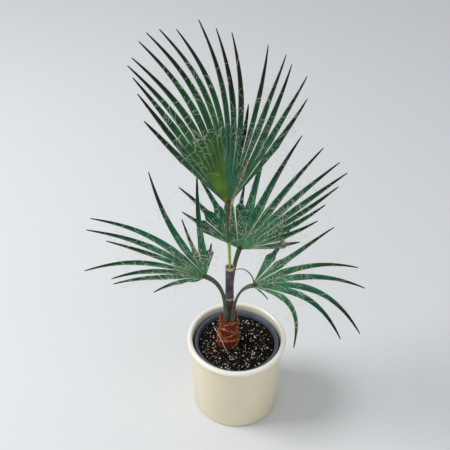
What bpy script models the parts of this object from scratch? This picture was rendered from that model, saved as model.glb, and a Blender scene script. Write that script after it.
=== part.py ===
# A young fan palm in its pot: cream cover pot, dark grower's pot, potting soil, a short
# trunk clad in old leaf bases, and four fan leaves on their stalks.
# Metres, +Z up, with the origin in the middle of the cover pot's flat underside.

import math
from collections import namedtuple

import bmesh
import bpy
from mathutils import Vector

CLEARANCE = 0.0003  # between a piece and what carries it

# Cover pot, worked out from its rim's outside diameter of 200 mm
POT_SIDES = 40
RIM_RADIUS = 0.1000
POT_HEIGHT = 0.1780
BEAD_RADIUS = 0.0055
BEAD_STEP = 35
POT_TOP_RADIUS = 0.0930
POT_BASE_RADIUS = 0.0890
POT_WALL = 0.0045
FOOT_BEVEL = 0.0040

# Grower's pot standing in it
LINER_RIM_RADIUS = 0.0855
LINER_HEIGHT = 0.1655
LINER_LIP = 0.0080
LINER_TOP_RADIUS = 0.0795
LINER_BASE_RADIUS = 0.0640
LINER_WALL = 0.0027

# Soil in the grower's pot
SOIL_LEVEL = 0.1580
SOIL_SHOULDER = 0.0020

# Trunk, from its flat cut on the soil to the crown
TRUNK_SIDES = 36
TRUNK_RINGS = 14
TRUNK_FOOT = Vector((-0.0180, 0.0020, SOIL_LEVEL + CLEARANCE))
TRUNK_TOP = Vector((-0.0155, 0.0000, 0.2350))
FOOT_RADIUS = 0.0190
TOP_RADIUS = 0.0150
ROOT_FLARE = 0.0020
LEAF_BASES = 9
LEAF_BASE_TURN = 137.5
LEAF_BASE_SPAN = 65
LEAF_BASE_HEIGHT = 0.026
LEAF_BASE_FLARE = 0.0042
LOWEST_LEAF_BASE = -0.10  # as a share of the trunk's height, so it starts in the soil
LEAF_BASES_SPREAD = 0.95

# Sheath round the youngest leaf's stalk, which stands in a socket in its top
SHEATH_SIDES = 20
SHEATH_RADIUS = 0.0082
SHEATH_FOOT_RADIUS = 0.0095
SHEATH_COLLAR = 0.0009
SHEATH_COLLAR_HEIGHT = 0.2870
SHEATH_COLLAR_REACH = 0.0030
SHEATH_LIP = 0.0010
SHEATH_TOP = 0.3660
SOCKET_RADIUS = 0.0056
SOCKET_DEPTH = 0.0120

# Stalks and blades
STALK_SIDES = 12
STALK_STEPS = 9
STALK_THICKNESS = 0.0060
STALK_WAIST = 0.25
YOUNG_STALK_SWELL = 0.0030  # the youngest stalk is stouter, just above its sheath
SWELL_START = 0.10
SWELL_SPAN = 0.12
HUB_WIDTH = 0.0100
HUB_THICKNESS = 0.0036
TIP_THICKNESS = 0.0018
TIP_HALF_WIDTH = 0.0008
PLEAT_SLOPE = 0.60
LEAFLET_FILL = 0.88  # share of the gap to its neighbours that a free leaflet takes up
LEAFLET_HALF_WIDTH = 0.0068  # and the most that it may
LEAFLET_SLENDERNESS = 0.032  # half width over length, also at most
LEAFLET_TAPER = 0.85
LEAFLET_BEND_START = 0.6  # share of the palm where a leaflet starts to bend
PALM_STEPS = 2
FREE_STEPS = 6
PATH_STEP = 0.006

# heading is the leaflet's angle from the blade's middle line, and bend is how far it has
# turned from that at its tip, both in degrees; droop is its fall under its own weight.
Leaflet = namedtuple("Leaflet", "heading length bend droop")

# compass and pitch aim the blade's middle line, and turn rolls its upper face about it.
# palm is how far out the leaflets stay joined. stalk_foot is where the stalk starts, and
# stalk_rise and stalk_reach are how long it keeps to its first and its last direction.
Fan = namedtuple(
    "Fan", "name hub compass pitch turn palm cup recurve stalk_foot stalk_rise stalk_reach leaflets"
)


def leaflets(droop, *rows):
    """Leaflets from rows of heading, length in mm and bend, with a droop of their own or the blade's."""
    made = []
    for row in rows:
        own_droop = row[3] if len(row) > 3 else droop
        made.append(Leaflet(row[0], row[1] / 1000, row[2], own_droop))
    return made


FANS = (
    Fan(
        "main", Vector((-0.0204, 0.0000, 0.5161)), 100, 76, 20, 0.125, 0.12, 0.35,
        Vector((-0.0157, 0.0000, SHEATH_TOP - SOCKET_DEPTH + CLEARANCE)), 0.050, 0.040,
        leaflets(
            0.10,
            (-39, 219, 6), (-34.5, 259, 7), (-30, 284, 0), (-25, 305, -11), (-20, 312, -18),
            (-15, 327, -20), (-10, 334, -25), (-5.5, 330, -27), (-1.5, 318, -25), (2.5, 320, -16),
            (7, 301, -14), (12, 293, -13), (16.5, 175, 6), (20.5, 280, 2), (25.5, 276, 10),
            (32, 265, 2), (38, 263, 8), (45, 232, 5),
        ),
    ),
    Fan(
        "upper_right", Vector((0.0027, 0.0350, 0.3805)), 45, 60, 36, 0.080, 0.10, 0.25,
        Vector((-0.0125, 0.0125, TRUNK_TOP.z + CLEARANCE)), 0.070, 0.040,
        leaflets(
            0.15,
            (-76, 125, -1), (-60, 161, -10), (-47, 162, -6), (-34, 159, 1), (-20, 123, 10),
            (-8, 212, 0), (3, 243, 6), (14, 246, 4), (23, 247, 4), (30, 246, 0),
            (36, 218, -8), (42, 180, -12), (49, 154, -12), (59, 111, -4),
        ),
    ),
    Fan(
        "left", Vector((-0.0608, -0.0200, 0.3586)), 172, 20, -60, 0.045, 0.10, 0.20,
        Vector((-0.0225, -0.0122, TRUNK_TOP.z + CLEARANCE)), 0.060, 0.035,
        leaflets(
            0.10,
            (-29, 103, -8, 0.5), (-19, 176, -4, 0.4), (-11, 180, -19, 0.3), (-4, 232, -28, 0.2),
            (3, 196, -8), (10, 240, -20), (19, 243, -28), (32, 221, 20), (44, 115, 6),
            (60, 191, 8), (77, 60, 0),
        ),
    ),
    Fan(
        "right", Vector((0.0288, -0.0200, 0.3378)), -8, 10, 24, 0.055, 0.10, 0.20,
        Vector((-0.0090, -0.0125, TRUNK_TOP.z + CLEARANCE)), 0.050, 0.030,
        leaflets(
            0.10,
            (-56, 149, -12), (-36, 191, -7), (-21, 203, 16, 0.3), (-10, 212, 14, 0.4),
            (0, 231, 42, 0.7), (9, 201, 38, 0.8), (20, 162, 86, 1.4),
        ),
    ),
)


def material(name, colour, roughness):
    """A Principled BSDF material of one colour."""
    made = bpy.data.materials.new(name)
    made.use_nodes = True
    shader = made.node_tree.nodes["Principled BSDF"]
    shader.inputs["Base Color"].default_value = (*colour, 1)
    shader.inputs["Roughness"].default_value = roughness
    shader.inputs["Metallic"].default_value = 0
    return made


def add_object(name, mesh_edit, finish, crease=40):
    """Turns an edited mesh into an object with its faces pointing out."""
    bmesh.ops.triangulate(mesh_edit, faces=mesh_edit.faces[:])
    bmesh.ops.recalc_face_normals(mesh_edit, faces=mesh_edit.faces[:])
    mesh = bpy.data.meshes.new(name)
    mesh_edit.to_mesh(mesh)
    mesh_edit.free()
    mesh.shade_smooth()
    mesh.set_sharp_from_angle(angle=math.radians(crease))
    mesh.materials.append(finish)
    made = bpy.data.objects.new(name, mesh)
    bpy.context.collection.objects.link(made)
    return made


def loft(name, rings, finish, crease=40):
    """Skins a row of closed rings, each a list of points or one point, and caps open ends."""
    edit = bmesh.new()
    rows = [[edit.verts.new(point) for point in ring] for ring in rings]
    for lower, upper in zip(rows, rows[1:]):
        count = max(len(lower), len(upper))
        for i in range(count):
            corners = []
            for vert in (
                lower[i % len(lower)],
                lower[(i + 1) % len(lower)],
                upper[(i + 1) % len(upper)],
                upper[i % len(upper)],
            ):
                if vert not in corners:
                    corners.append(vert)
            edit.faces.new(corners)
    for end in (rows[0], rows[-1]):
        if len(end) > 1:
            edit.faces.new(end)
    return add_object(name, edit, finish, crease)


def turned(name, profile, sides, centre, finish):
    """A solid of revolution about an upright axis, from its profile of radius and height."""
    rings = []
    for radius, height in profile:
        if radius == 0:
            rings.append([Vector((centre[0], centre[1], height))])
            continue
        ring = []
        for i in range(sides):
            angle = math.tau * i / sides
            ring.append(
                Vector(
                    (
                        centre[0] + radius * math.cos(angle),
                        centre[1] + radius * math.sin(angle),
                        height,
                    )
                )
            )
        rings.append(ring)
    return loft(name, rings, finish)


def make_cover_pot():
    """Cream pot: flat foot, slightly tapered wall, rounded rim, and a flat floor inside."""
    bead_centre = RIM_RADIUS - BEAD_RADIUS
    bead_height = POT_HEIGHT - BEAD_RADIUS
    profile = [(0, 0), (POT_BASE_RADIUS - FOOT_BEVEL, 0), (POT_BASE_RADIUS, FOOT_BEVEL)]
    profile.append((POT_TOP_RADIUS, bead_height - BEAD_RADIUS))
    for degrees in range(-BEAD_STEP, 181, BEAD_STEP):
        angle = math.radians(degrees)
        profile.append(
            (
                bead_centre + BEAD_RADIUS * math.cos(angle),
                bead_height + BEAD_RADIUS * math.sin(angle),
            )
        )
    profile.append((POT_TOP_RADIUS - POT_WALL, bead_height - BEAD_RADIUS))
    profile.append((POT_BASE_RADIUS - POT_WALL, POT_WALL))
    profile.append((0, POT_WALL))
    finish = material("cream_glaze", (0.78, 0.70, 0.54), 0.3)
    return turned("cover_pot", profile, POT_SIDES, (0, 0), finish)


def liner_inner_radius(height):
    """Radius inside the grower's pot at a height below its lip."""
    floor = POT_WALL + CLEARANCE
    share = (height - floor) / (LINER_HEIGHT - LINER_LIP - floor)
    return LINER_BASE_RADIUS + (LINER_TOP_RADIUS - LINER_BASE_RADIUS) * share - LINER_WALL


def make_nursery_pot():
    """Dark grower's pot with a turned-out lip, standing on the cover pot's floor."""
    base = POT_WALL + CLEARANCE
    floor = base + LINER_WALL
    neck = LINER_HEIGHT - LINER_LIP
    profile = [
        (0, base),
        (LINER_BASE_RADIUS, base),
        (LINER_TOP_RADIUS, neck),
        (LINER_RIM_RADIUS, neck + LINER_WALL / 2),
        (LINER_RIM_RADIUS, LINER_HEIGHT - LINER_WALL / 2),
        (LINER_RIM_RADIUS - LINER_WALL, LINER_HEIGHT),
        (LINER_TOP_RADIUS, LINER_HEIGHT),
        (liner_inner_radius(neck), neck),
        (liner_inner_radius(floor), floor),
        (0, floor),
    ]
    finish = material("dark_plastic", (0.05, 0.06, 0.08), 0.45)
    return turned("nursery_pot", profile, POT_SIDES, (0, 0), finish)


def make_soil():
    """Potting soil that fills the grower's pot to a level top."""
    base = POT_WALL + LINER_WALL + 2 * CLEARANCE
    shoulder = SOIL_LEVEL - SOIL_SHOULDER
    profile = [
        (0, base),
        (liner_inner_radius(base) - CLEARANCE, base),
        (liner_inner_radius(shoulder) - CLEARANCE, shoulder),
        (liner_inner_radius(shoulder) - SOIL_SHOULDER, SOIL_LEVEL),
        (0, SOIL_LEVEL),
    ]
    finish = material("potting_mix", (0.03, 0.025, 0.02), 0.95)
    return turned("potting_soil", profile, POT_SIDES, (0, 0), finish)


def leaf_base_relief(height, degrees):
    """How far the old leaf bases stand out of the trunk, with height as a share of it."""
    relief = 0
    trunk_height = TRUNK_TOP.z - TRUNK_FOOT.z
    for k in range(LEAF_BASES):
        start = LOWEST_LEAF_BASE + k * LEAF_BASES_SPREAD / LEAF_BASES
        rise = (height - start) * trunk_height / LEAF_BASE_HEIGHT
        aside = abs((degrees - LEAF_BASE_TURN * k + 180) % 360 - 180) / LEAF_BASE_SPAN
        if 0 < rise < 1 and aside < 1:
            relief = max(relief, LEAF_BASE_FLARE * rise * math.cos(aside * math.pi / 2))
    return relief


def make_trunk():
    """Short tapered trunk with overlapping leaf bases, flat at both ends."""
    rings = []
    for ring in range(TRUNK_RINGS + 1):
        height = ring / TRUNK_RINGS
        middle = TRUNK_FOOT.lerp(TRUNK_TOP, height)
        radius = FOOT_RADIUS + (TOP_RADIUS - FOOT_RADIUS) * height
        radius += ROOT_FLARE * (1 - height) ** 4
        points = []
        for i in range(TRUNK_SIDES):
            degrees = 360 * i / TRUNK_SIDES
            angle = math.radians(degrees)
            reach = radius + leaf_base_relief(height, degrees)
            points.append(middle + reach * Vector((math.cos(angle), math.sin(angle), 0)))
        rings.append(points)
    return loft("trunk", rings, material("old_leaf_bases", (0.30, 0.11, 0.05), 0.85), 30)


def make_sheath():
    """Purple sheath with a pale collar half way up and one at its top, and a socket."""
    foot = TRUNK_TOP.z + CLEARANCE
    profile = [
        (0, foot),
        (SHEATH_FOOT_RADIUS, foot),
        (SHEATH_RADIUS, SHEATH_COLLAR_HEIGHT - SHEATH_COLLAR_REACH),
        (SHEATH_RADIUS + SHEATH_COLLAR, SHEATH_COLLAR_HEIGHT),
        (SHEATH_RADIUS, SHEATH_COLLAR_HEIGHT + SHEATH_COLLAR_REACH),
        (SHEATH_RADIUS, SHEATH_TOP - SHEATH_COLLAR_REACH),
        (SHEATH_RADIUS + SHEATH_COLLAR, SHEATH_TOP - SHEATH_LIP),
        (SHEATH_RADIUS, SHEATH_TOP),
        (SOCKET_RADIUS, SHEATH_TOP),
        (SOCKET_RADIUS, SHEATH_TOP - SOCKET_DEPTH),
        (0, SHEATH_TOP - SOCKET_DEPTH),
    ]
    centre = (FANS[0].stalk_foot.x, FANS[0].stalk_foot.y)
    finish = material("sheath_bloom", (0.23, 0.15, 0.17), 0.6)
    return turned("crown_sheath", profile, SHEATH_SIDES, centre, finish)


def blade_frame(fan):
    """The blade's middle line, its upper side's normal, and its side direction."""
    compass = math.radians(fan.compass)
    pitch = math.radians(fan.pitch)
    along = Vector(
        (
            math.cos(compass) * math.cos(pitch),
            math.sin(compass) * math.cos(pitch),
            math.sin(pitch),
        )
    )
    upright = (Vector((0, 0, 1)) - along * along.z).normalized()
    turn = math.radians(fan.turn)
    normal = math.cos(turn) * upright + math.sin(turn) * along.cross(upright)
    return along, normal, along.cross(normal)


def smooth(share):
    """Eases from 0 to 1."""
    share = min(max(share, 0), 1)
    return share * share * (3 - 2 * share)


def leaflet_path(fan, leaflet, reaches):
    """Points along a leaflet's midrib at each reach, with the side and up directions there."""
    along, normal, side = blade_frame(fan)
    widest = max(fan.leaflets[-1].heading, -fan.leaflets[0].heading)
    point = fan.hub + side * (HUB_WIDTH / 2) * max(-1, min(1, leaflet.heading / widest))
    bend_start = fan.palm * LEAFLET_BEND_START
    stations = []
    travelled = 0
    for reach in reaches:
        steps = max(1, round((reach - travelled) / PATH_STEP))
        stride = (reach - travelled) / steps
        for _ in range(steps):
            middle = travelled + stride / 2
            share = middle / leaflet.length
            turned_by = leaflet.bend * smooth((middle - bend_start) / (leaflet.length - bend_start))
            angle = math.radians(leaflet.heading + turned_by)
            course = math.cos(angle) * along + math.sin(angle) * side
            course += fan.cup * math.sin(angle) ** 2 * normal
            course.normalize()
            course -= share**2 * (Vector((0, 0, leaflet.droop)) + fan.recurve * normal)
            course.normalize()
            point = point + course * stride
            travelled += stride
        if reach == 0:
            course = math.cos(math.radians(leaflet.heading)) * along
            course += math.sin(math.radians(leaflet.heading)) * side
        across = course.cross(normal).normalized()
        stations.append((point, across, across.cross(course).normalized()))
    return stations


def between(first, second):
    """The line that two neighbouring leaflets share, or the outer edge of the first one."""
    if second is None:
        return first
    return Leaflet(*[(a + b) / 2 for a, b in zip(first, second)])


def blade_borders(fan):
    """The leaflets' shared borders from one side of the blade to the other."""
    row = fan.leaflets
    first_edge = row[0]._replace(heading=row[0].heading * 1.5 - row[1].heading * 0.5)
    last_edge = row[-1]._replace(heading=row[-1].heading * 1.5 - row[-2].heading * 0.5)
    shared = [between(a, b) for a, b in zip(row, row[1:])]
    return [first_edge, *shared, last_edge]


def thickness(share):
    """The blade's thickness at a share of a leaflet's length."""
    return HUB_THICKNESS + (TIP_THICKNESS - HUB_THICKNESS) * share


def make_blade(fan, finish):
    """A pleated fan: joined from the hub to the palm's edge, then cut into free leaflets."""
    edit = bmesh.new()
    palm_reaches = [fan.palm * k / PALM_STEPS for k in range(PALM_STEPS + 1)]
    borders = blade_borders(fan)

    def pair(point, up, depth):
        return edit.verts.new(point), edit.verts.new(point - up * depth)

    def quad(a, b, c, d):
        edit.faces.new((a, b, c, d))

    border_rows = []
    for k, border in enumerate(borders):
        near = fan.leaflets[min(k, len(fan.leaflets) - 1)]
        gap = abs(near.heading - border.heading)
        row = []
        for reach, (point, _, up) in zip(palm_reaches, leaflet_path(fan, border, palm_reaches)):
            ridge = reach * math.radians(gap) * PLEAT_SLOPE
            row.append(pair(point + up * ridge, up, thickness(reach / border.length)))
        border_rows.append(row)

    for k, leaflet in enumerate(fan.leaflets):
        left, right = border_rows[k], border_rows[k + 1]
        gap = math.radians(borders[k + 1].heading - borders[k].heading) / 2
        free = leaflet.length - fan.palm
        most = min(LEAFLET_HALF_WIDTH, leaflet.length * LEAFLET_SLENDERNESS)
        reaches = palm_reaches + [fan.palm + free * (j + 1) / FREE_STEPS for j in range(FREE_STEPS)]
        sections = []
        for j, (point, across, up) in enumerate(leaflet_path(fan, leaflet, reaches)):
            depth = thickness(reaches[j] / leaflet.length)
            rib = pair(point, up, depth)
            if j <= PALM_STEPS:
                sections.append((left[j], rib, right[j]))
                continue
            taper = (1 - (j - PALM_STEPS) / FREE_STEPS) ** LEAFLET_TAPER
            widest = min(reaches[j] * gap * LEAFLET_FILL, most)
            half = TIP_HALF_WIDTH + widest * taper
            lift = up * half * PLEAT_SLOPE
            sections.append(
                (
                    pair(point - across * half + lift, up, depth),
                    rib,
                    pair(point + across * half + lift, up, depth),
                )
            )
        for j, (here, there) in enumerate(zip(sections, sections[1:])):
            for a, b in ((0, 1), (1, 2)):
                quad(here[a][0], here[b][0], there[b][0], there[a][0])
                quad(here[a][1], there[a][1], there[b][1], here[b][1])
            if j >= PALM_STEPS or k == 0:
                quad(here[0][0], there[0][0], there[0][1], here[0][1])
            if j >= PALM_STEPS or k == len(fan.leaflets) - 1:
                quad(here[2][0], here[2][1], there[2][1], there[2][0])
        for end in (sections[0], sections[-1]):
            for a, b in ((0, 1), (1, 2)):
                quad(end[a][0], end[a][1], end[b][1], end[b][0])
    return add_object("fan_" + fan.name, edit, finish)


def make_stalk(fan, finish):
    """A flattened round stalk, bent smoothly from the crown to the blade's hub."""
    along, normal, side = blade_frame(fan)
    start = fan.stalk_foot
    end = fan.hub - along * CLEARANCE
    axis = FANS[0].stalk_foot
    outward = Vector((start.x - axis.x, start.y - axis.y, 0))
    first_side = side
    swell = YOUNG_STALK_SWELL
    if outward.length > 0:
        first_side = Vector((-outward.y, outward.x, 0)).normalized()
        swell = 0
    if first_side.dot(side) < 0:
        first_side = -first_side
    handle_start = start + Vector((0, 0, fan.stalk_rise))
    handle_end = end - along * fan.stalk_reach
    rings = []
    for step in range(STALK_STEPS + 1):
        t = step / STALK_STEPS
        s = 1 - t
        point = s**3 * start + 3 * s * s * t * handle_start + 3 * s * t * t * handle_end + t**3 * end
        course = s * s * (handle_start - start)
        course += 2 * s * t * (handle_end - handle_start) + t * t * (end - handle_end)
        course.normalize()
        across = first_side.lerp(side, smooth(t))
        across = (across - course * across.dot(course)).normalized()
        up = across.cross(course)
        wide = HUB_WIDTH / 2 * (1 - STALK_WAIST * math.sin(math.pi * t))
        wide += swell * smooth((t - SWELL_START) / SWELL_SPAN) * s
        deep = (STALK_THICKNESS + (HUB_THICKNESS - STALK_THICKNESS) * t) / 2
        sink = -up * (HUB_THICKNESS / 2) * smooth(t)
        ring = []
        for i in range(STALK_SIDES):
            angle = math.tau * i / STALK_SIDES
            ring.append(point + sink + across * wide * math.cos(angle) + up * deep * math.sin(angle))
        rings.append(ring)
    return loft("stalk_" + fan.name, rings, finish)


def main():
    """Clears the scene and makes every piece."""
    for old in list(bpy.data.objects):
        bpy.data.objects.remove(old, do_unlink=True)
    make_cover_pot()
    make_nursery_pot()
    make_soil()
    make_trunk()
    make_sheath()
    green_stalk = material("green_stalk", (0.16, 0.24, 0.06), 0.5)
    green_blade = material("green_blade", (0.06, 0.17, 0.10), 0.5)
    for fan in FANS:
        make_stalk(fan, green_stalk)
        make_blade(fan, green_blade)


main()
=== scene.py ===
# %% [markdown]
# # A fan palm in its pot
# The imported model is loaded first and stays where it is: it gives every size and place.
# The box round it is kept, because the finished look has to stay inside that box.

# %% Load the frame
import math
import random
from collections import namedtuple

import bmesh
import bpy
from mathutils import Matrix, Vector


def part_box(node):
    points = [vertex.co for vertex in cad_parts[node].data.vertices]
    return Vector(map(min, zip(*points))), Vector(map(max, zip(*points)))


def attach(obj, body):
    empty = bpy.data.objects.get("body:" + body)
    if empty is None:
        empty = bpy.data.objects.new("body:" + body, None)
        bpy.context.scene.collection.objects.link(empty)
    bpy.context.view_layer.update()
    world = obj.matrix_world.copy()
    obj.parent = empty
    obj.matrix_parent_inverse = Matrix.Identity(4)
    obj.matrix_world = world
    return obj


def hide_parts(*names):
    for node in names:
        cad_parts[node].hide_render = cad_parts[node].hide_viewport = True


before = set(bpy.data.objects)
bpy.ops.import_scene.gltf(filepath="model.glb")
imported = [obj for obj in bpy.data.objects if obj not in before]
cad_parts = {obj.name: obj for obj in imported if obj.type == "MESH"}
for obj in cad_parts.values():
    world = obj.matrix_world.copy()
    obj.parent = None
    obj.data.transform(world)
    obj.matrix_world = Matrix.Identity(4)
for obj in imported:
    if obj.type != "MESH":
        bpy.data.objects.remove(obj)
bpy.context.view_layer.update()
dice = random.Random(7)
print("frame nodes:", sorted(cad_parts))

# %% [markdown]
# The photograph looks down on the plant by about 39 degrees through a 64 mm lens. A camera's
# matrix has its right, up and backward directions as columns, so it can be written straight
# from the viewing angles instead of being turned by hand.

# %% Camera
PITCH = math.radians(39.28)
ROLL = math.radians(0.47)
YAW = math.radians(-0.07)
EYE = Vector((-0.024, -1.106, 1.371))

flat = math.cos(PITCH)
forward = Vector((math.sin(YAW) * flat, math.cos(YAW) * flat, -math.sin(PITCH)))
level = Vector((math.cos(YAW), -math.sin(YAW), 0))
upward = level.cross(forward)
right = level * math.cos(ROLL) + upward * math.sin(ROLL)
top = upward * math.cos(ROLL) - level * math.sin(ROLL)
camera_data = bpy.data.cameras.new("camera")
camera_data.lens = 64
camera_data.sensor_width = 36
camera = bpy.data.objects.new("camera", camera_data)
bpy.context.scene.collection.objects.link(camera)
turn = Matrix((right, top, -forward)).transposed().to_4x4()
camera.matrix_world = Matrix.Translation(EYE) @ turn
bpy.context.scene.camera = camera
print("camera looks down by", round(math.degrees(PITCH), 1), "degrees")

# %% [markdown]
# A large soft light from the upper left gives the faint shadow on the right, and an even
# pale world fills the rest, as in a studio. The floor is one wide plane.

# %% Studio
FLOOR_SIZE = 14
AIM = Vector((0, 0, 0.4))
LAMPS = (  # name, place, power in watts, and width
    ("key", (-2.2, 0.1, 2.6), 75, 1.4),
    ("fill", (1.8, -1.5, 1.8), 8, 2.0),
)

bpy.ops.object.select_all(action="DESELECT")
bpy.ops.mesh.primitive_plane_add(size=FLOOR_SIZE)
floor = bpy.context.object
floor.name = "floor"
floor_paint = bpy.data.materials.new("floor_paint")
floor_paint.use_nodes = True
floor_shader = floor_paint.node_tree.nodes["Principled BSDF"]
floor_shader.inputs["Base Color"].default_value = (0.71, 0.725, 0.735, 1)
floor_shader.inputs["Roughness"].default_value = 0.9
floor.data.materials.append(floor_paint)
for name, place, power, width in LAMPS:
    lamp = bpy.data.lights.new(name, "AREA")
    lamp.energy = power
    lamp.size = width
    lamp_object = bpy.data.objects.new(name, lamp)
    bpy.context.scene.collection.objects.link(lamp_object)
    lamp_object.location = place
    lamp_object.rotation_euler = (AIM - Vector(place)).to_track_quat("-Z", "Y").to_euler()
world = bpy.data.worlds.new("studio")
world.use_nodes = True
background = world.node_tree.nodes["Background"]
background.inputs["Color"].default_value = (0.95, 0.975, 1.0, 1)
background.inputs["Strength"].default_value = 0.52
bpy.context.scene.world = world
bpy.context.scene.view_settings.view_transform = "Standard"

# %% [markdown]
# Nearly every surface here is mottled a little: glaze, soil, bark and leaf. One node group
# does this for all of them. It darkens a colour with noise and raises a small bump, and each
# material places it with its own values.

# %% Mottling group
def mottle_group():
    group = bpy.data.node_groups.new("mottle", "ShaderNodeTree")
    face = group.interface
    for socket, kind in (("Color", "NodeSocketColor"), ("Shade", "NodeSocketColor")):
        face.new_socket(socket, in_out="INPUT", socket_type=kind)
    for socket in ("Scale", "Bump"):
        face.new_socket(socket, in_out="INPUT", socket_type="NodeSocketFloat")
    face.new_socket("Color", in_out="OUTPUT", socket_type="NodeSocketColor")
    face.new_socket("Normal", in_out="OUTPUT", socket_type="NodeSocketVector")
    nodes, links = group.nodes, group.links
    inside = nodes.new("NodeGroupInput")
    outside = nodes.new("NodeGroupOutput")
    place = nodes.new("ShaderNodeTexCoord")
    noise = nodes.new("ShaderNodeTexNoise")
    noise.inputs["Detail"].default_value = 6
    spread = nodes.new("ShaderNodeValToRGB")
    spread.color_ramp.elements[0].position = 0.35
    spread.color_ramp.elements[1].position = 0.65
    mix = nodes.new("ShaderNodeMix")
    mix.data_type = "RGBA"
    bump = nodes.new("ShaderNodeBump")
    bump.inputs["Distance"].default_value = 0.001
    links.new(place.outputs["Object"], noise.inputs["Vector"])
    links.new(inside.outputs["Scale"], noise.inputs["Scale"])
    links.new(noise.outputs["Fac"], spread.inputs["Fac"])
    links.new(spread.outputs["Color"], mix.inputs["Factor"])
    links.new(inside.outputs["Color"], mix.inputs["A"])
    links.new(inside.outputs["Shade"], mix.inputs["B"])
    links.new(noise.outputs["Fac"], bump.inputs["Height"])
    links.new(inside.outputs["Bump"], bump.inputs["Strength"])
    links.new(mix.outputs["Result"], outside.inputs["Color"])
    links.new(bump.outputs["Normal"], outside.inputs["Normal"])
    return group


mottle = mottle_group()


def surface(name, colour, shade, roughness, scale, bump, coat=0.0, shine=0.5):
    """A Principled material whose colour and relief come from the mottling group."""
    made = bpy.data.materials.new(name)
    made.use_nodes = True
    nodes, links = made.node_tree.nodes, made.node_tree.links
    shader = nodes["Principled BSDF"]
    shader.inputs["Roughness"].default_value = roughness
    shader.inputs["Coat Weight"].default_value = coat
    shader.inputs["Specular IOR Level"].default_value = shine
    effect = nodes.new("ShaderNodeGroup")
    effect.node_tree = mottle
    effect.inputs["Color"].default_value = (*colour, 1)
    effect.inputs["Shade"].default_value = (*shade, 1)
    effect.inputs["Scale"].default_value = scale
    effect.inputs["Bump"].default_value = bump
    links.new(effect.outputs["Color"], shader.inputs["Base Color"])
    links.new(effect.outputs["Normal"], shader.inputs["Normal"])
    return made


glaze = surface("cream_glaze", (0.84, 0.75, 0.53), (0.80, 0.70, 0.48), 0.22, 9, 0.02, 0.5)
# The rim's paler glaze is a painted highlight for the light falling on the pot's top
rim_painted_highlight_glaze = surface("rim_painted_highlight_glaze", (0.91, 0.88, 0.78), (0.88, 0.84, 0.72), 0.18, 9, 0.02, 0.6)
# The black grower pot is coloured blue-grey all over: a painted highlight for the sheen on its
# rim
liner_plastic_painted_highlight = surface("liner_plastic_painted_highlight", (0.10, 0.13, 0.17), (0.07, 0.09, 0.12), 0.45, 60, 0.1)
peat = surface("peat", (0.004, 0.0035, 0.003), (0.016, 0.012, 0.009), 1.0, 260, 0.9, 0, 0.1)
perlite = surface("perlite", (0.88, 0.85, 0.78), (0.60, 0.52, 0.40), 0.9, 300, 0.5)
bark_red = surface("bark_red", (0.30, 0.050, 0.022), (0.045, 0.012, 0.008), 0.9, 160, 0.9, 0, 0.2)
bark_tan = surface("bark_tan", (0.60, 0.30, 0.12), (0.22, 0.07, 0.03), 0.9, 220, 0.8, 0, 0.2)
dry_fibre = surface("dry_fibre", (0.52, 0.43, 0.28), (0.16, 0.10, 0.055), 0.9, 260, 0.8, 0, 0.2)
bloom = surface("sheath_bloom", (0.035, 0.018, 0.025), (0.14, 0.10, 0.13), 0.6, 70, 0.3)
collar = surface("collar", (0.62, 0.52, 0.36), (0.42, 0.30, 0.18), 0.75, 150, 0.5)
lime = surface("stalk_lime", (0.36, 0.46, 0.06), (0.22, 0.34, 0.06), 0.45, 80, 0.15, 0.1)
stalk_green = surface("stalk_green", (0.050, 0.125, 0.036), (0.06, 0.045, 0.025), 0.5, 70, 0.2)
thread = surface("white_thread", (0.80, 0.77, 0.68), (0.66, 0.60, 0.48), 0.8, 90, 0.1)
print("materials:", len(bpy.data.materials))

# %% [markdown]
# A leaf's ribs run along it. Each leaflet keeps the UV map of the grid that it is made from,
# with U across and V along, so a wave on U draws the ribs however the leaflet bends. The
# colours that have a place, such as dry tips, are separate materials on those faces.

# %% Leaf materials
def leaf_surface(name, colour, shade, pale):
    """Leaf green with pale ribs drawn by a wave across the leaflet."""
    made = surface(name, colour, shade, 0.45, 45, 0.15, 0, 0.22)
    nodes, links = made.node_tree.nodes, made.node_tree.links
    shader = nodes["Principled BSDF"]
    effect = next(node for node in nodes if node.type == "GROUP")
    own_map = nodes.new("ShaderNodeTexCoord")
    ribs = nodes.new("ShaderNodeTexWave")
    ribs.inputs["Scale"].default_value = 1.6
    ribs.inputs["Distortion"].default_value = 0.3
    mask = nodes.new("ShaderNodeMapRange")
    mask.inputs["From Min"].default_value = 0.72
    mask.inputs["To Max"].default_value = 0.45
    mix = nodes.new("ShaderNodeMix")
    mix.data_type = "RGBA"
    mix.inputs["B"].default_value = (*pale, 1)
    bump = nodes.new("ShaderNodeBump")
    bump.inputs["Distance"].default_value = 0.0006
    bump.inputs["Strength"].default_value = 0.5
    links.new(own_map.outputs["UV"], ribs.inputs["Vector"])
    links.new(ribs.outputs["Fac"], mask.inputs["Value"])
    links.new(mask.outputs["Result"], mix.inputs["Factor"])
    links.new(effect.outputs["Color"], mix.inputs["A"])
    links.new(mix.outputs["Result"], shader.inputs["Base Color"])
    links.new(ribs.outputs["Fac"], bump.inputs["Height"])
    links.new(effect.outputs["Normal"], bump.inputs["Normal"])
    links.new(bump.outputs["Normal"], shader.inputs["Normal"])
    return made


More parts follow.
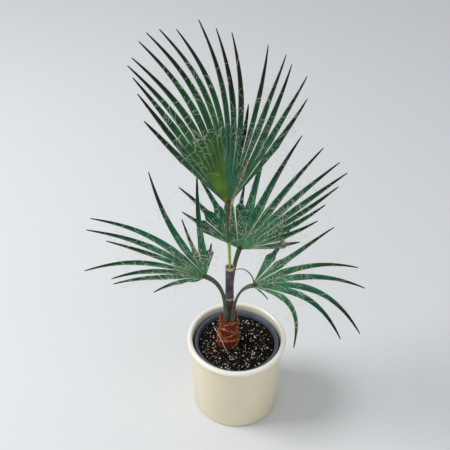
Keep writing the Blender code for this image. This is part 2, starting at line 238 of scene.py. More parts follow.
# Each row is a share of the leaflet's length with the colour there
WARM = (
    (0.00, (0.240, 0.360, 0.035)),
    (0.22, (0.120, 0.260, 0.035)),
    (0.42, (0.045, 0.180, 0.045)),
    (0.70, (0.022, 0.135, 0.050)),
    (0.94, (0.010, 0.060, 0.026)),
    (1.00, (0.020, 0.014, 0.009)),
)
COOL = (
    (0.00, (0.120, 0.300, 0.130)),
    (0.25, (0.055, 0.220, 0.105)),
    (0.55, (0.026, 0.150, 0.070)),
    (0.80, (0.014, 0.100, 0.045)),
    (0.95, (0.009, 0.050, 0.024)),
    (1.00, (0.018, 0.013, 0.009)),
)
COLOUR_STEPS = 12
SHADE_SHARE = 0.50
RIB_GAIN = 1.9
RIB_LIFT = 0.03
RIB_MOST = 0.8


def ramp_colour(ramp, share):
    """The colour at a share of the way along a ramp."""
    for (low, first), (high, second) in zip(ramp, ramp[1:]):
        if share <= high:
            part = (share - low) / (high - low)
            return [a + (b - a) * part for a, b in zip(first, second)]
    return list(ramp[-1][1])


def leaf_ramp(name, ramp):
    """One leaf material for each step along a ramp."""
    made = []
    for step in range(COLOUR_STEPS):
        colour = ramp_colour(ramp, step / (COLOUR_STEPS - 1))
        shade = [value * SHADE_SHARE for value in colour]
        pale = [min(value * RIB_GAIN + RIB_LIFT, RIB_MOST) for value in colour]
        made.append(leaf_surface(f"{name}_{step:02d}", colour, shade, pale))
    return made


margin = surface("pale_margin", (0.46, 0.42, 0.25), (0.16, 0.20, 0.09), 0.7, 120, 0.2)
LEAF_COLOURS = leaf_ramp("leaf_warm", WARM) + leaf_ramp("leaf_cool", COOL) + [margin]
MARGIN = len(LEAF_COLOURS) - 1
print("leaf colours:", len(LEAF_COLOURS))

# %% [markdown]
# Round things such as pots could be spun from a profile. Here a filled circle is extruded and
# scaled step by step along the profile, as one would do by hand: the moving cap closes the
# shape at every step, so the pot ends up as one closed wall.

# %% Pots
CAP_RADIUS = 0.0100  # of the small disc that closes a pot's floor
POT_WALL = 0.0045
POT_FOOT = ((0.0830, 0), (0.0850, 0), (0.0880, 0.0012), (0.0890, 0.0040))  # radius, height
POT_FLOOR = ((0.0845, 0.003), (0.0810, 0), (CAP_RADIUS, 0))  # radius, height over the floor
POT_NECK_RADIUS = 0.0930
POT_INNER_RADIUS = 0.0885
BEAD = 0.0055  # radius of the rounded rim
BEAD_DEGREES = range(-60, 181, 15)
# The paler glaze is a painted highlight; inside this radius it reaches further down
PAINTED_HIGHLIGHT_RADIUS = 0.0915  # inside this the paler glaze reaches further down
PAINTED_HIGHLIGHT_DEPTH = 0.05
LINER_WALL = 0.0027
LINER_LIP = 0.0080
FINE_SIDES = 96


def finish_piece(piece, node_names, slot_name, *finishes, angle=40):
    """Hides what a finished piece replaces, hangs it on the root body, and adds its finishes."""
    for finish in finishes:
        piece.data.materials.append(finish)
    bpy.ops.object.select_all(action="DESELECT")
    bpy.context.view_layer.objects.active = piece
    piece.select_set(True)
    bpy.ops.object.shade_smooth_by_angle(angle=math.radians(angle))
    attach(piece, "root")
    if node_names:
        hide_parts(*node_names)
    print(piece.name, "faces:", len(piece.data.polygons))


def turned(name, profile, centre=(0, 0), sides=FINE_SIDES):
    """Extrudes and scales a disc along rows of radius and height."""
    bpy.ops.object.select_all(action="DESELECT")
    radius, height = profile[0]
    bpy.ops.mesh.primitive_circle_add(
        vertices=sides, radius=radius, fill_type="NGON", location=(*centre, height)
    )
    piece = bpy.context.object
    piece.name = name
    bpy.ops.object.transform_apply(location=True, rotation=True, scale=True)
    bpy.ops.object.mode_set(mode="EDIT")
    bpy.ops.mesh.select_all(action="SELECT")
    for next_radius, next_height in profile[1:]:
        bpy.ops.mesh.extrude_region_move(
            TRANSFORM_OT_translate={"value": (0, 0, next_height - height)}
        )
        factor = next_radius / radius
        bpy.ops.transform.resize(
            value=(factor, factor, 1), center_override=(*centre, next_height)
        )
        radius, height = next_radius, next_height
    bpy.ops.mesh.select_all(action="SELECT")
    bpy.ops.mesh.normals_make_consistent(inside=False)
    bpy.ops.object.mode_set(mode="OBJECT")
    return piece


pot_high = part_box("cover_pot")[1]
rim_radius = pot_high[0]
bead_height = pot_high[2] - BEAD
pot_profile = [*POT_FOOT, (POT_NECK_RADIUS, bead_height - BEAD)]
for degrees in BEAD_DEGREES:
    angle = math.radians(degrees)
    pot_profile.append(
        (rim_radius - BEAD + BEAD * math.cos(angle), bead_height + BEAD * math.sin(angle))
    )
pot_profile.append((POT_INNER_RADIUS, bead_height - BEAD))
pot_profile += [(radius, POT_WALL + height) for radius, height in POT_FLOOR]
pot = turned("cover_pot_glazed", pot_profile)
finish_piece(pot, ["cover_pot"], "glaze", glaze, rim_painted_highlight_glaze)
# Faces of the rim and of the inner wall below it take the painted highlight
for face in pot.data.polygons:
    depth = BEAD if face.center.xy.length > PAINTED_HIGHLIGHT_RADIUS else PAINTED_HIGHLIGHT_DEPTH
    if face.center.z > bead_height - depth:
        face.material_index = 1

liner_low, liner_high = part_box("nursery_pot")
neck = liner_high[2] - LINER_LIP
lip = liner_high[0]
liner_floor = liner_low[2] + LINER_WALL
liner_profile = [  # radius and height, up the outside and down the inside
    (0.0600, liner_low[2]),
    (0.0640, liner_low[2]),
    (0.0795, neck),
    (lip - 0.0004, neck + 0.0006),
    (lip, neck + 0.0016),
    (lip, liner_high[2] - 0.0016),
    (lip - 0.0010, liner_high[2]),
    (0.0800, liner_high[2]),
    (0.0788, liner_high[2] - 0.0012),
    (0.0768, neck),
    (0.0613, liner_floor),
    (CAP_RADIUS, liner_floor),
]
finish_piece(turned("grower_pot", liner_profile), ["nursery_pot"], "liner", liner_plastic_painted_highlight)

# %% [markdown]
# Potting mix is crumbs, not a flat disc. The top is a disc of rings whose points are pushed
# up and down, and loose crumbs and pale specks lie half sunk in it. A crumb is modelled once
# as a coarse ball, and its copies are turned, squashed and joined in one mesh.

# %% Soil
SOIL_FOOT_RADIUS = 0.0606
SOIL_TOP_RADIUS = 0.0763
SOIL_SHOULDER = 0.002
RINGS = 25
FIRST_RING_RADIUS = 0.0755
RING_STEP = 0.0030
ROUGH_RADIUS = 0.074
RELIEF = (-0.0014, 0.0012)
STREWN_RADIUS = 0.073
GRAIN_TILT = 0.6
GRAIN_WIDTHS = (0.4, 0.9)  # as shares of the grain's length, and so is its height
GRAIN_HEIGHT = 0.5

soil_low, soil_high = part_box("potting_soil")
soil_level = soil_high[2]
rings = [(SOIL_FOOT_RADIUS, soil_low[2]), (SOIL_TOP_RADIUS, soil_level - SOIL_SHOULDER)]
rings += [(FIRST_RING_RADIUS - RING_STEP * k, soil_level) for k in range(RINGS)]
soil = turned("soil_top", rings)
for vert in soil.data.vertices:
    if vert.co.z > soil_level - SOIL_SHOULDER / 2 and vert.co.xy.length < ROUGH_RADIUS:
        vert.co.z += dice.uniform(*RELIEF)
finish_piece(soil, ["potting_soil"], "soil", peat, angle=25)


def scatter(name, count, smallest, largest, finish):
    """Copies of one coarse ball strewn over the soil and joined."""
    template = bmesh.new()
    bmesh.ops.create_icosphere(template, subdivisions=1, radius=1)
    grain = bpy.data.meshes.new("grain")
    template.to_mesh(grain)
    template.free()
    heap = bmesh.new()
    for _ in range(count):
        size = dice.uniform(smallest, largest)
        reach = STREWN_RADIUS * math.sqrt(dice.random())
        compass = dice.uniform(0, math.tau)
        before = len(heap.verts)
        heap.from_mesh(grain)
        heap.verts.ensure_lookup_table()
        shape = (
            Matrix.Translation((reach * math.cos(compass), reach * math.sin(compass), soil_level))
            @ Matrix.Rotation(dice.uniform(0, math.tau), 4, "Z")
            @ Matrix.Rotation(dice.uniform(-GRAIN_TILT, GRAIN_TILT), 4, "X")
            @ Matrix.Diagonal((size, size * dice.uniform(*GRAIN_WIDTHS), size * GRAIN_HEIGHT, 1))
        )
        bmesh.ops.transform(heap, matrix=shape, verts=heap.verts[before:])
    mesh = bpy.data.meshes.new(name)
    heap.to_mesh(mesh)
    heap.free()
    piece = bpy.data.objects.new(name, mesh)
    bpy.context.collection.objects.link(piece)
    finish_piece(piece, [], "soil", finish, angle=20)


scatter("soil_crumbs", 900, 0.0012, 0.0036, peat)
scatter("soil_specks", 650, 0.0005, 0.0020, perlite)
scatter("soil_bark_bits", 60, 0.0012, 0.0030, bark_tan)

# %% [markdown]
# Trunk, sheath, stalks and leaflets are all laid out the same way: a grid is added, and a
# function says where each of its points goes. Rolled up, a grid is a tube whose seam is
# merged and whose ends are filled.

# %% Laid grids
def laid_grid(name, across, along, place, tube):
    """A grid primitive whose points, from -1 to 1 each way, are put where place says."""
    bpy.ops.object.select_all(action="DESELECT")
    bpy.ops.mesh.primitive_grid_add(x_subdivisions=across, y_subdivisions=along, size=2)
    piece = bpy.context.object
    piece.name = name
    for vert in piece.data.vertices:
        vert.co = place(vert.co.x, vert.co.y)
    if tube:
        bpy.ops.object.mode_set(mode="EDIT")
        bpy.ops.mesh.select_all(action="SELECT")
        bpy.ops.mesh.remove_doubles(threshold=0.00001)
        bpy.ops.mesh.fill_holes(sides=0)
        bpy.ops.mesh.select_all(action="SELECT")
        bpy.ops.mesh.normals_make_consistent(inside=False)
        bpy.ops.object.mode_set(mode="OBJECT")
    return piece


# %% [markdown]
# The trunk is clad in the bases of old leaves, which overlap like tiles. Each rises outward
# from below and ends in a sharp edge, higher in its middle, with tan fibre on that edge.
# Successive bases stand 137.5 degrees apart, as on most plants.

# %% Trunk
CLEARANCE = 0.0003  # between a piece and what carries it
TRUNK_FOOT = Vector((-0.0180, 0.0020, soil_level + CLEARANCE))
TRUNK_TOP = Vector((-0.0155, 0.0000, 0.2350))
TRUNK_RADIUS = 0.0190
TRUNK_TAPER = 0.0040
ROOT_FLARE = 0.002
FIBRES = ((0.00035, 9, 40), (0.0002, 47, 0))  # depth, ridges round the trunk, and lean
LEAF_BASES = 13
LOWEST_LEAF_BASE = -0.12  # as a share of the trunk's height
LEAF_BASE_TURN = 137.5
LEAF_BASE_SPAN = 66
LEAF_BASE_RISE = 0.024
LEAF_BASE_ARCH = 0.45
LEAF_BASE_FLARE = 0.0050
FLARE_POWER = 1.3
TAN_EDGE = 0.89  # share of a leaf base's rise where its tan fibre starts


def leaf_base(height, degrees):
    """(how far a leaf base stands out, its share of rise) at a place on the trunk."""
    best = (0.0, 0.0)
    for k in range(LEAF_BASES):
        start = LOWEST_LEAF_BASE + k / LEAF_BASES
        aside = abs((degrees - LEAF_BASE_TURN * k + 180) % 360 - 180) / LEAF_BASE_SPAN
        rise = (height - start) * (TRUNK_TOP.z - TRUNK_FOOT.z) / LEAF_BASE_RISE
        rise += LEAF_BASE_ARCH * aside**2
        if 0 < rise < 1 and aside < 1:
            out = LEAF_BASE_FLARE * rise**FLARE_POWER * math.sqrt(math.cos(aside * math.pi / 2))
            best = max(best, (out, rise))
    return best


def trunk_point(x, y):
    height = (y + 1) / 2
    degrees = 180 * (x + 1)
    angle = math.radians(degrees)
    fibre = sum(depth * math.sin(count * angle + lean * height) for depth, count, lean in FIBRES)
    reach = TRUNK_RADIUS - TRUNK_TAPER * height + ROOT_FLARE * (1 - height) ** 4
    reach += leaf_base(height, degrees)[0] + fibre
    outward = Vector((math.cos(angle), math.sin(angle), 0))
    return TRUNK_FOOT.lerp(TRUNK_TOP, height) + reach * outward


trunk = laid_grid("trunk_bark", 120, 90, trunk_point, True)
finish_piece(trunk, ["trunk"], "bark", bark_red, bark_tan, angle=35)
for face in trunk.data.polygons:
    middle = face.center
    height = (middle.z - TRUNK_FOOT.z) / (TRUNK_TOP.z - TRUNK_FOOT.z)
    axis = TRUNK_FOOT.lerp(TRUNK_TOP, height)
    degrees = math.degrees(math.atan2(middle.y - axis.y, middle.x - axis.x)) % 360
    if leaf_base(height, degrees)[1] > TAN_EDGE:
        face.material_index = 1

# %% [markdown]
# The sheath is the wrapped base of the youngest leaf: purple-brown with a white bloom, and
# pale dry collars where older leaves tore away.

# %% Sheath
SHEATH_CENTRE = (-0.0157, 0.0)
SHEATH_SIDES = 32
SHEATH_FOOT_RADIUS = 0.0095
SHEATH_WALL = (  # radius and height
    (0.0086, 0.2600), (0.0082, 0.2840), (0.0092, 0.2855), (0.0094, 0.2875),
    (0.0083, 0.2895), (0.0080, 0.3250), (0.0082, 0.3610), (0.0090, 0.3640),
)
SHEATH_LIP_RADIUS = 0.0086
SOCKET_RADIUS = 0.0056
SOCKET_FLOOR = 0.3542
SOCKET_CAP_RADIUS = 0.0010
LOW_COLLAR = (0.2842, 0.2890)
TOP_COLLAR = 0.3612

sheath_low, sheath_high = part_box("crown_sheath")
sheath_rows = [(SHEATH_FOOT_RADIUS, sheath_low[2]), *SHEATH_WALL]
sheath_rows += [(SHEATH_LIP_RADIUS, sheath_high[2]), (SOCKET_RADIUS, sheath_high[2])]
sheath_rows += [(SOCKET_RADIUS, SOCKET_FLOOR), (SOCKET_CAP_RADIUS, SOCKET_FLOOR)]
sheath = turned("purple_sheath", sheath_rows, SHEATH_CENTRE, SHEATH_SIDES)
finish_piece(sheath, ["crown_sheath"], "sheath", bloom, collar)
for face in sheath.data.polygons:
    if LOW_COLLAR[0] < face.center.z < LOW_COLLAR[1] or face.center.z > TOP_COLLAR:
        face.material_index = 1

# %% [markdown]
# Each fan leaf has leaflets that spring from a hub. A leaflet sets off at its heading, keeps
# straight while it is joined to its neighbours, then bends towards its tip and droops under
# its own weight. The numbers are the solids' own: heading, length in mm, bend and droop.

# %% Leaf sizes
Leaflet = namedtuple("Leaflet", "heading length bend droop")
# compass and pitch aim the blade's middle line, and turn rolls it about that. palm is how far
# out the leaflets stay joined. cup lifts the outer leaflets towards the upper side, and
# recurve bends the tips away from it. foot, rise and reach shape the stalk, and short is one
# more small leaflet beside the hub, where the leaf has one.
Fan = namedtuple(
    "Fan", "name hub compass pitch turn palm cup recurve foot rise reach short leaflets"
)
PLEAT_SLOPE = 0.60
HUB_WIDTH = 0.0100


def leaflets(droop, *rows):
    return [Leaflet(r[0], r[1] / 1000, r[2], r[3] if len(r) > 3 else droop) for r in rows]


FANS = (
    Fan(
        "main", Vector((-0.0204, 0.0000, 0.5161)), 100, 76, 20, 0.125, 0.12, 0.35,
        Vector((-0.0157, 0.0000, 0.3543)), 0.050, 0.040, (),
        leaflets(
            0.10,
            (-39, 219, 6), (-34.5, 259, 7), (-30, 284, 0), (-25, 305, -11), (-20, 312, -18),
            (-15, 327, -20), (-10, 334, -25), (-5.5, 330, -27), (-1.5, 318, -25), (2.5, 320, -16),
            (7, 301, -14), (12, 293, -13), (16.5, 175, 6), (20.5, 280, 2), (25.5, 276, 10),
            (32, 265, 2), (38, 263, 8), (45, 232, 5),
        ),
    ),
    Fan(
        "upper_right", Vector((0.0027, 0.0350, 0.3805)), 45, 60, 36, 0.080, 0.10, 0.25,
        Vector((-0.0125, 0.0125, 0.2353)), 0.070, 0.040, (),
        leaflets(
            0.15,
            (-76, 125, -1), (-60, 161, -10), (-47, 162, -6), (-34, 159, 1), (-20, 123, 10),
            (-8, 212, 0), (3, 243, 6), (14, 246, 4), (23, 247, 4), (30, 246, 0),
            (36, 218, -8), (42, 180, -12), (49, 154, -12), (59, 111, -4),
        ),
    ),
    Fan(
        "left", Vector((-0.0608, -0.0200, 0.3586)), 172, 20, -60, 0.045, 0.10, 0.20,
        Vector((-0.0225, -0.0122, 0.2353)), 0.060, 0.035, (-40, 36, 30, 0.3),
        leaflets(
            0.10,
            (-29, 103, -8, 0.5), (-19, 176, -4, 0.4), (-11, 180, -19, 0.3), (-4, 232, -28, 0.2),
            (3, 196, -8), (10, 240, -20), (19, 243, -28), (32, 221, 20), (44, 115, 6),
            (60, 191, 8), (77, 60, 0),
        ),
    ),
    Fan(
        "right", Vector((0.0288, -0.0200, 0.3378)), -8, 10, 24, 0.055, 0.10, 0.20,
        Vector((-0.0090, -0.0125, 0.2353)), 0.050, 0.030, (34, 37, 5, 0.6),
        leaflets(
            0.10,
            (-56, 149, -12), (-36, 191, -7), (-21, 203, 16, 0.3), (-10, 212, 14, 0.4),
            (0, 231, 42, 0.7), (9, 201, 38, 0.8), (20, 162, 86, 1.4),
        ),
    ),
)

# %% [markdown]
# The blade's middle line, upper side and side direction make a small frame of its own. The
# path is walked in short steps, so bending and drooping add up along the leaflet.

# %% The leaflet rule
BEND_START = 0.6  # share of the palm where a leaflet starts to bend


def blade_frame(fan):
    compass, pitch, roll = (math.radians(v) for v in (fan.compass, fan.pitch, fan.turn))
    flat = math.cos(pitch)
    along = Vector((math.cos(compass) * flat, math.sin(compass) * flat, math.sin(pitch)))
    upright = (Vector((0, 0, 1)) - along * along.z).normalized()
    normal = math.cos(roll) * upright + math.sin(roll) * along.cross(upright)
    return along, normal, along.cross(normal)


def smooth(share):
    share = min(max(share, 0), 1)
    return share * share * (3 - 2 * share)


def leaflet_path(fan, leaflet, count):
    """Evenly spaced stations along a leaflet: point, side, up and distance from the hub."""
    along, normal, side = blade_frame(fan)
    widest = max(fan.leaflets[-1].heading, -fan.leaflets[0].heading)
    point = fan.hub + side * (HUB_WIDTH / 2) * max(-1, min(1, leaflet.heading / widest))
    start = fan.palm * BEND_START
    stride = leaflet.length / count
    stations = []
    for k in range(count + 1):
        middle = (k + 0.5) * stride
        share = min(middle / leaflet.length, 1)
        turned_by = leaflet.bend * smooth((middle - start) / (leaflet.length - start))
        angle = math.radians(leaflet.heading + turned_by)
        course = math.cos(angle) * along + math.sin(angle) * side
        course += fan.cup * math.sin(angle) ** 2 * normal
        course.normalize()
        course -= share**2 * (Vector((0, 0, leaflet.droop)) + fan.recurve * normal)
        course.normalize()
        across = course.cross(normal).normalized()
        stations.append((point.copy(), across, across.cross(course).normalized(), k * stride))
        point = point + course * stride
    return stations


# %% [markdown]
# A leaflet is a strip folded along its middle. While it is joined it is as wide as the gap to
# its neighbours, and after the split it tapers to a point. Its colours go by place: fresh
# or yellow near the hub, deeper outward, and dry at the tip, with painted shade in the fold
# and a painted highlight on the ridges. Solidify then gives it a body.

# %% Blades
STRIP_ACROSS = 8
STRIP_ALONG = 40
BLADE_THICKNESS = 0.0007
WIDEST_HALF = 0.0068
SLENDERNESS = 0.032
JOINED_FILL = 0.99  # share of the gap to its neighbours that a joined leaflet takes up
SPLIT_LOSS = 0.11  # how much less of that gap a free one takes up
SPLIT_EASE = 8
SLIM_EASE = 6
TIP_HALF = 0.0004
TAPER_POWER = 0.85
FOLD_POWER = 1.25
# How much deeper each column's green is: painted shade darkens the fold and one half of the
# leaflet, and a painted highlight lightens the ridges
PAINTED_FOLD_SHADE_AND_HIGHLIGHT = (0.02, -0.08, -0.04, 0.16, 0.20, 0.10, 0.02, 0.08)
DITHER = 0.03
TONE = 0.07
EDGED_SHARE = 0.6
MARGIN_START = 2  # times the palm in metres, as a share of the leaflet
MARGIN_END = 0.9
WARM_LEAFLETS = range(2, 8)  # of the main leaf, and so are the drier ones
DRY_LEAFLETS = (10, 11, 12)
DRY_SHIFT = 0.15
STUB_PALM = 0.012
STUB_GAP = math.radians(5)
BLADE_CREASE = 50


def strip_width(fan, leaflet, gap, distance):
    """Half the leaflet's width at a distance from its hub."""
    root = HUB_WIDTH / 2 / len(fan.leaflets)
    if distance <= fan.palm:
        return max(root, distance * gap * JOINED_FILL)
    share = (distance - fan.palm) / (leaflet.length - fan.palm)
    fill = JOINED_FILL - SPLIT_LOSS * smooth(share * SPLIT_EASE)
    joined = distance * gap * fill
    free = min(joined, WIDEST_HALF, leaflet.length * SLENDERNESS)
    widest = joined + (free - joined) * smooth(share * SLIM_EASE)
    return TIP_HALF + widest * max(1 - share, 0) ** TAPER_POWER


def strip_colour(fan, index, column, share, tone, edged):
    """Which leaf colour a face has, by its leaflet and its place on it."""
    at_edge = column in (0, STRIP_ACROSS - 1)
    if edged and at_edge and fan.palm * MARGIN_START < share < MARGIN_END:
        return MARGIN
    # The column's step adds painted shade in the fold and on one half, and a painted highlight on
    # the ridges
    spot = share + tone + PAINTED_FOLD_SHADE_AND_HIGHLIGHT[column] + dice.uniform(-DITHER, DITHER)
    if fan.name == "main" and index in DRY_LEAFLETS:
        spot += DRY_SHIFT * share
    step = min(max(int(spot * COLOUR_STEPS), 0), COLOUR_STEPS - 1)
    warm = fan.name == "main" and index in WARM_LEAFLETS
    return step if warm else COLOUR_STEPS + step


def make_leaflet(fan, leaflet, gap, index):
    stations = leaflet_path(fan, leaflet, STRIP_ALONG)

    def place(x, y):
        point, across, up, distance = stations[round((y + 1) / 2 * STRIP_ALONG)]
        half = strip_width(fan, leaflet, gap, distance)
        across_share = math.sin(x * math.pi / 2)
        fold = PLEAT_SLOPE * half * abs(across_share) ** FOLD_POWER
        return point + across * half * across_share + up * fold

    strip = laid_grid("strip", STRIP_ACROSS, STRIP_ALONG, place, False)
    for colour in LEAF_COLOURS:
        strip.data.materials.append(colour)
    tone = dice.uniform(-TONE, TONE)
    edged = dice.random() < EDGED_SHARE
    for number, face in enumerate(strip.data.polygons):
        row, column = divmod(number, STRIP_ACROSS)
        share = (row + 0.5) / STRIP_ALONG
        face.material_index = strip_colour(fan, index, column, share, tone, edged)
    return strip


def make_blade(fan):
    row = list(fan.leaflets)
    strips = []
    for k, leaflet in enumerate(row):
        left = row[k - 1].heading if k else 2 * leaflet.heading - row[1].heading
        right = row[k + 1].heading if k + 1 < len(row) else 2 * leaflet.heading - row[-2].heading
        gap = math.radians((right - left) / 4)
        strips.append(make_leaflet(fan, leaflet, gap, k))
    if fan.short:
        heading, length, bend, droop = fan.short
        stub = Leaflet(heading, length / 1000, bend, droop)
        strips.append(make_leaflet(fan._replace(palm=STUB_PALM), stub, STUB_GAP, len(row)))
    bpy.ops.object.select_all(action="DESELECT")
    for strip in strips:
        strip.select_set(True)
    bpy.context.view_layer.objects.active = strips[0]
    bpy.ops.object.join()
    blade = bpy.context.object
    blade.name = "blade_" + fan.name
    body = blade.modifiers.new("body", "SOLIDIFY")
    body.thickness = BLADE_THICKNESS
    body.offset = -1
    bpy.ops.object.modifier_apply(modifier="body")
    finish_piece(blade, ["fan_" + fan.name], "leaf", angle=BLADE_CREASE)


for fan in FANS:
    make_blade(fan)

# %% [markdown]
# The stalks follow the curve of the solids, but finer. Old ones are green to brown, and the
# youngest is lime where it leaves its sheath.

# %% Stalks
STALK_THICKNESS = 0.0060
STALK_THINNING = 0.0024
STALK_WAIST = 0.25
STALK_SINK = 0.0018
YOUNG_STALK_SWELL = 0.0030
SWELL_START = 0.10
SWELL_SPAN = 0.12
LIME_TOP = 0.430


def make_stalk(fan):
    along, _, side = blade_frame(fan)
    end = fan.hub - along * CLEARANCE
    outward = Vector((fan.foot.x - SHEATH_CENTRE[0], fan.foot.y - SHEATH_CENTRE[1], 0))
    first_side = side
    if outward.length > 0:
        first_side = Vector((-outward.y, outward.x, 0)).normalized()
    if first_side.dot(side) < 0:
        first_side = -first_side
    handle_start = fan.foot + Vector((0, 0, fan.rise))
    handle_end = end - along * fan.reach

    def place(x, y):
        t = (y + 1) / 2
        s = 1 - t
        point = s**3 * fan.foot + 3 * s * s * t * handle_start
        point += 3 * s * t * t * handle_end + t**3 * end
        course = s * s * (handle_start - fan.foot)
        course += 2 * s * t * (handle_end - handle_start) + t * t * (end - handle_end)
        course.normalize()
        across = first_side.lerp(side, smooth(t))
        across = (across - course * across.dot(course)).normalized()
        up = across.cross(course)
        angle = math.pi * (x + 1)
        wide = HUB_WIDTH / 2 * (1 - STALK_WAIST * math.sin(math.pi * t))
        if fan.name == "main":
            wide += YOUNG_STALK_SWELL * smooth((t - SWELL_START) / SWELL_SPAN) * s
        deep = (STALK_THICKNESS - STALK_THINNING * t) / 2
        sink = -up * STALK_SINK * smooth(t)
        return point + sink + across * wide * math.cos(angle) - up * deep * math.sin(angle)

    stalk = laid_grid("leaf_stalk_" + fan.name, 20, 40, place, True)
    finish_piece(stalk, ["stalk_" + fan.name], "stalk", stalk_green, lime)
    if fan.name == "main":
        for face in stalk.data.polygons:
            if face.center.z < LIME_TOP:
                face.material_index = 1


for fan in FANS:
    make_stalk(fan)

# %% [markdown]
# Curly white threads hang from the edges where the leaflets came apart. Each is a thin curve
# that wanders from an edge and curls as it goes. All threads of a leaf are one curve object
# with a round bevel, made into a mesh at the end.

# %% Threads
THREAD_RADIUS = 0.00018
THREAD_POINTS = 16
THREAD_COUNTS = (300, 300, 220, 120)
THREAD_LENGTHS = (0.016, 0.055)
THREAD_CURLS = (0.03, 0.40)
THREAD_LIFT = 0.03
MAIN_STARTS = (0.34, 0.80)  # where threads start, as shares of a leaflet
OTHER_STARTS = (0.12, 0.80)
EDGE_REACH = 0.04
EDGE_MOST = 0.007
EDGE_RISE = 0.0035
FORWARD = (0.2, 1.4)
ASTRAY = 0.8


def make_threads(fan, count):
    data = bpy.data.curves.new("threads_" + fan.name, "CURVE")
    data.dimensions = "3D"
    data.bevel_depth = THREAD_RADIUS
    data.bevel_resolution = 0
    data.use_fill_caps = True
    paths = [leaflet_path(fan, leaflet, STRIP_ALONG) for leaflet in fan.leaflets]
    for _ in range(count):
        index = dice.randrange(len(paths))
        share = dice.uniform(*(MAIN_STARTS if fan.name == "main" else OTHER_STARTS))
        point, across, up, distance = paths[index][int(share * STRIP_ALONG)]
        reach = dice.choice((-1, 1)) * min(distance * EDGE_REACH, EDGE_MOST)
        point = point + across * reach + up * EDGE_RISE
        astray = Vector([dice.gauss(0, 1) for _ in range(3)]).normalized()
        heading = (up.cross(across) * dice.uniform(*FORWARD) + astray * ASTRAY).normalized()
        axis = Vector([dice.gauss(0, 1) for _ in range(3)]).normalized()
        length = dice.uniform(*THREAD_LENGTHS)
        curl = dice.uniform(*THREAD_CURLS)
        spline = data.splines.new("POLY")
        spline.points.add(THREAD_POINTS - 1)
        for k in range(THREAD_POINTS):
            spline.points[k].co = (*point, 1)
            heading = Matrix.Rotation(curl, 3, axis) @ heading
            heading = (heading + THREAD_LIFT * up).normalized()
            point = point + heading * length / THREAD_POINTS
    threads = bpy.data.objects.new("threads_" + fan.name, data)
    bpy.context.collection.objects.link(threads)
    bpy.ops.object.select_all(action="DESELECT")
    bpy.context.view_layer.objects.active = threads
    threads.select_set(True)
    bpy.ops.object.convert(target="MESH")
    finish_piece(bpy.context.object, [], "leaf", thread, angle=60)


for fan, count in zip(FANS, THREAD_COUNTS):
    make_threads(fan, count)

# %% [markdown]
# Four small things finish the plant: the brown tongue where each stalk meets its blade, the
# dry strip that hangs from the main leaf's edge, one leaflet of the right leaf that has
# curled back, and a straw beside the trunk. The last three are tubes or ribbons along a
# smooth path through a few points, and the dry strip is three of them.

# %% Tongues and loose bits
RIBBON_SIDES = 10
RIBBON_STEPS = 30
TOWARDS_VIEWER = Vector((0, -0.77, 0.63))
TONGUE_STEPS = 10
TONGUE_WIDTH = 0.0032
TONGUE_LENGTH = 0.0036
TONGUE_START = 0.0026
TONGUE_RISE = 0.0008
TONGUE_DOME = 0.0018
TONGUE_THICKNESS = 0.0008
DRY_EDGE_LEAFLET = 14
DRY_STATIONS = (12, 8, 4, 1)
DRY_RISE = 0.006
DRY_END = ((0.004, -0.006, -0.030), (0.003, -0.005, -0.062))  # from the main leaf's hub
DRY_STRANDS = 3
DRY_SPREAD = 0.0020
DRY_DEPTH = 0.0010
DRY_WAVER = (-0.7, 1)  # at even and at odd corners


def smooth_path(corners, count):
    """Points of a Catmull-Rom curve through a few corners."""
    row = [corners[0], *corners, corners[-1]]
    points = []
    for k in range(count + 1):
        spot = k / count * (len(corners) - 1)
        piece = min(int(spot), len(corners) - 2)
        t = spot - piece
        a, b, c, d = row[piece : piece + 4]
        second = 2 * a - 5 * b + 4 * c - d
        third = 3 * b - a - 3 * c + d
        points.append(0.5 * (2 * b + (c - a) * t + second * t * t + third * t**3))
    return points


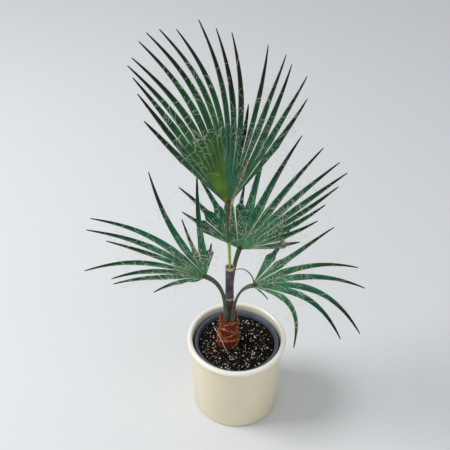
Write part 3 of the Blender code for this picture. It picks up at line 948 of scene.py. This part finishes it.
def tube_along(name, corners, thick, thin, slot_name, finish, flat=1.0):
    """A tube, or a flat ribbon, that runs through its corners and narrows to its end."""
    points = smooth_path([Vector(corner) for corner in corners], RIBBON_STEPS)

    def place(x, y):
        k = round((y + 1) / 2 * RIBBON_STEPS)
        course = (points[min(k + 1, RIBBON_STEPS)] - points[max(k - 1, 0)]).normalized()
        across = course.cross(TOWARDS_VIEWER).normalized()
        up = across.cross(course)
        angle = math.pi * (x + 1)
        reach = thick + (thin - thick) * k / RIBBON_STEPS
        return points[k] + reach * (across * math.cos(angle) - up * math.sin(angle) * flat)

    ribbon = laid_grid(name, RIBBON_SIDES, RIBBON_STEPS, place, True)
    finish_piece(ribbon, [], slot_name, finish)


def tongue(fan):
    along, normal, side = blade_frame(fan)

    def place(x, y):
        round_x = x * math.sqrt(1 - y * y / 2)
        round_y = y * math.sqrt(1 - x * x / 2)
        dome = 1 - round_x**2 - round_y**2
        return (
            fan.hub
            + side * TONGUE_WIDTH * round_x
            + along * (TONGUE_LENGTH * round_y + TONGUE_START)
            + normal * (TONGUE_RISE + TONGUE_DOME * dome)
        )

    piece = laid_grid("tongue_" + fan.name, TONGUE_STEPS, TONGUE_STEPS, place, False)
    body = piece.modifiers.new("body", "SOLIDIFY")
    body.thickness = TONGUE_THICKNESS
    body.offset = -1
    bpy.ops.object.modifier_apply(modifier="body")
    finish_piece(piece, [], "stalk", bark_red)


for fan in FANS:
    tongue(fan)

main_leaf = FANS[0]
main_path = leaflet_path(main_leaf, main_leaf.leaflets[DRY_EDGE_LEAFLET], STRIP_ALONG)
strip_corners = [main_path[k][0] + main_path[k][2] * DRY_RISE for k in DRY_STATIONS]
strip_corners += [main_leaf.hub + Vector(offset) for offset in DRY_END]
for k in range(DRY_STRANDS):
    waver = Vector((DRY_SPREAD * (k - 1), -DRY_DEPTH * k, 0.0))
    strand = [corner + waver * DRY_WAVER[n % 2] for n, corner in enumerate(strip_corners)]
    tube_along(f"dry_strip_{k}", strand, 0.0013, 0.0005, "leaf", dry_fibre, 0.6)
CURLED = ((0.030, -0.021, 0.338), (0.0265, -0.021, 0.3585), (0.0160, -0.021, 0.3745))
CURLED += ((0.0040, -0.021, 0.3800), (-0.0085, -0.021, 0.3760))
tube_along("curled_leaflet", CURLED, 0.0014, 0.0006, "leaf", stalk_green, 0.5)
STRAW = ((-0.0215, -0.0255, 0.1640), (-0.0310, -0.0190, 0.1870), (-0.0425, -0.0120, 0.2090))
tube_along("straw", STRAW, 0.0007, 0.0006, "soil", thread)
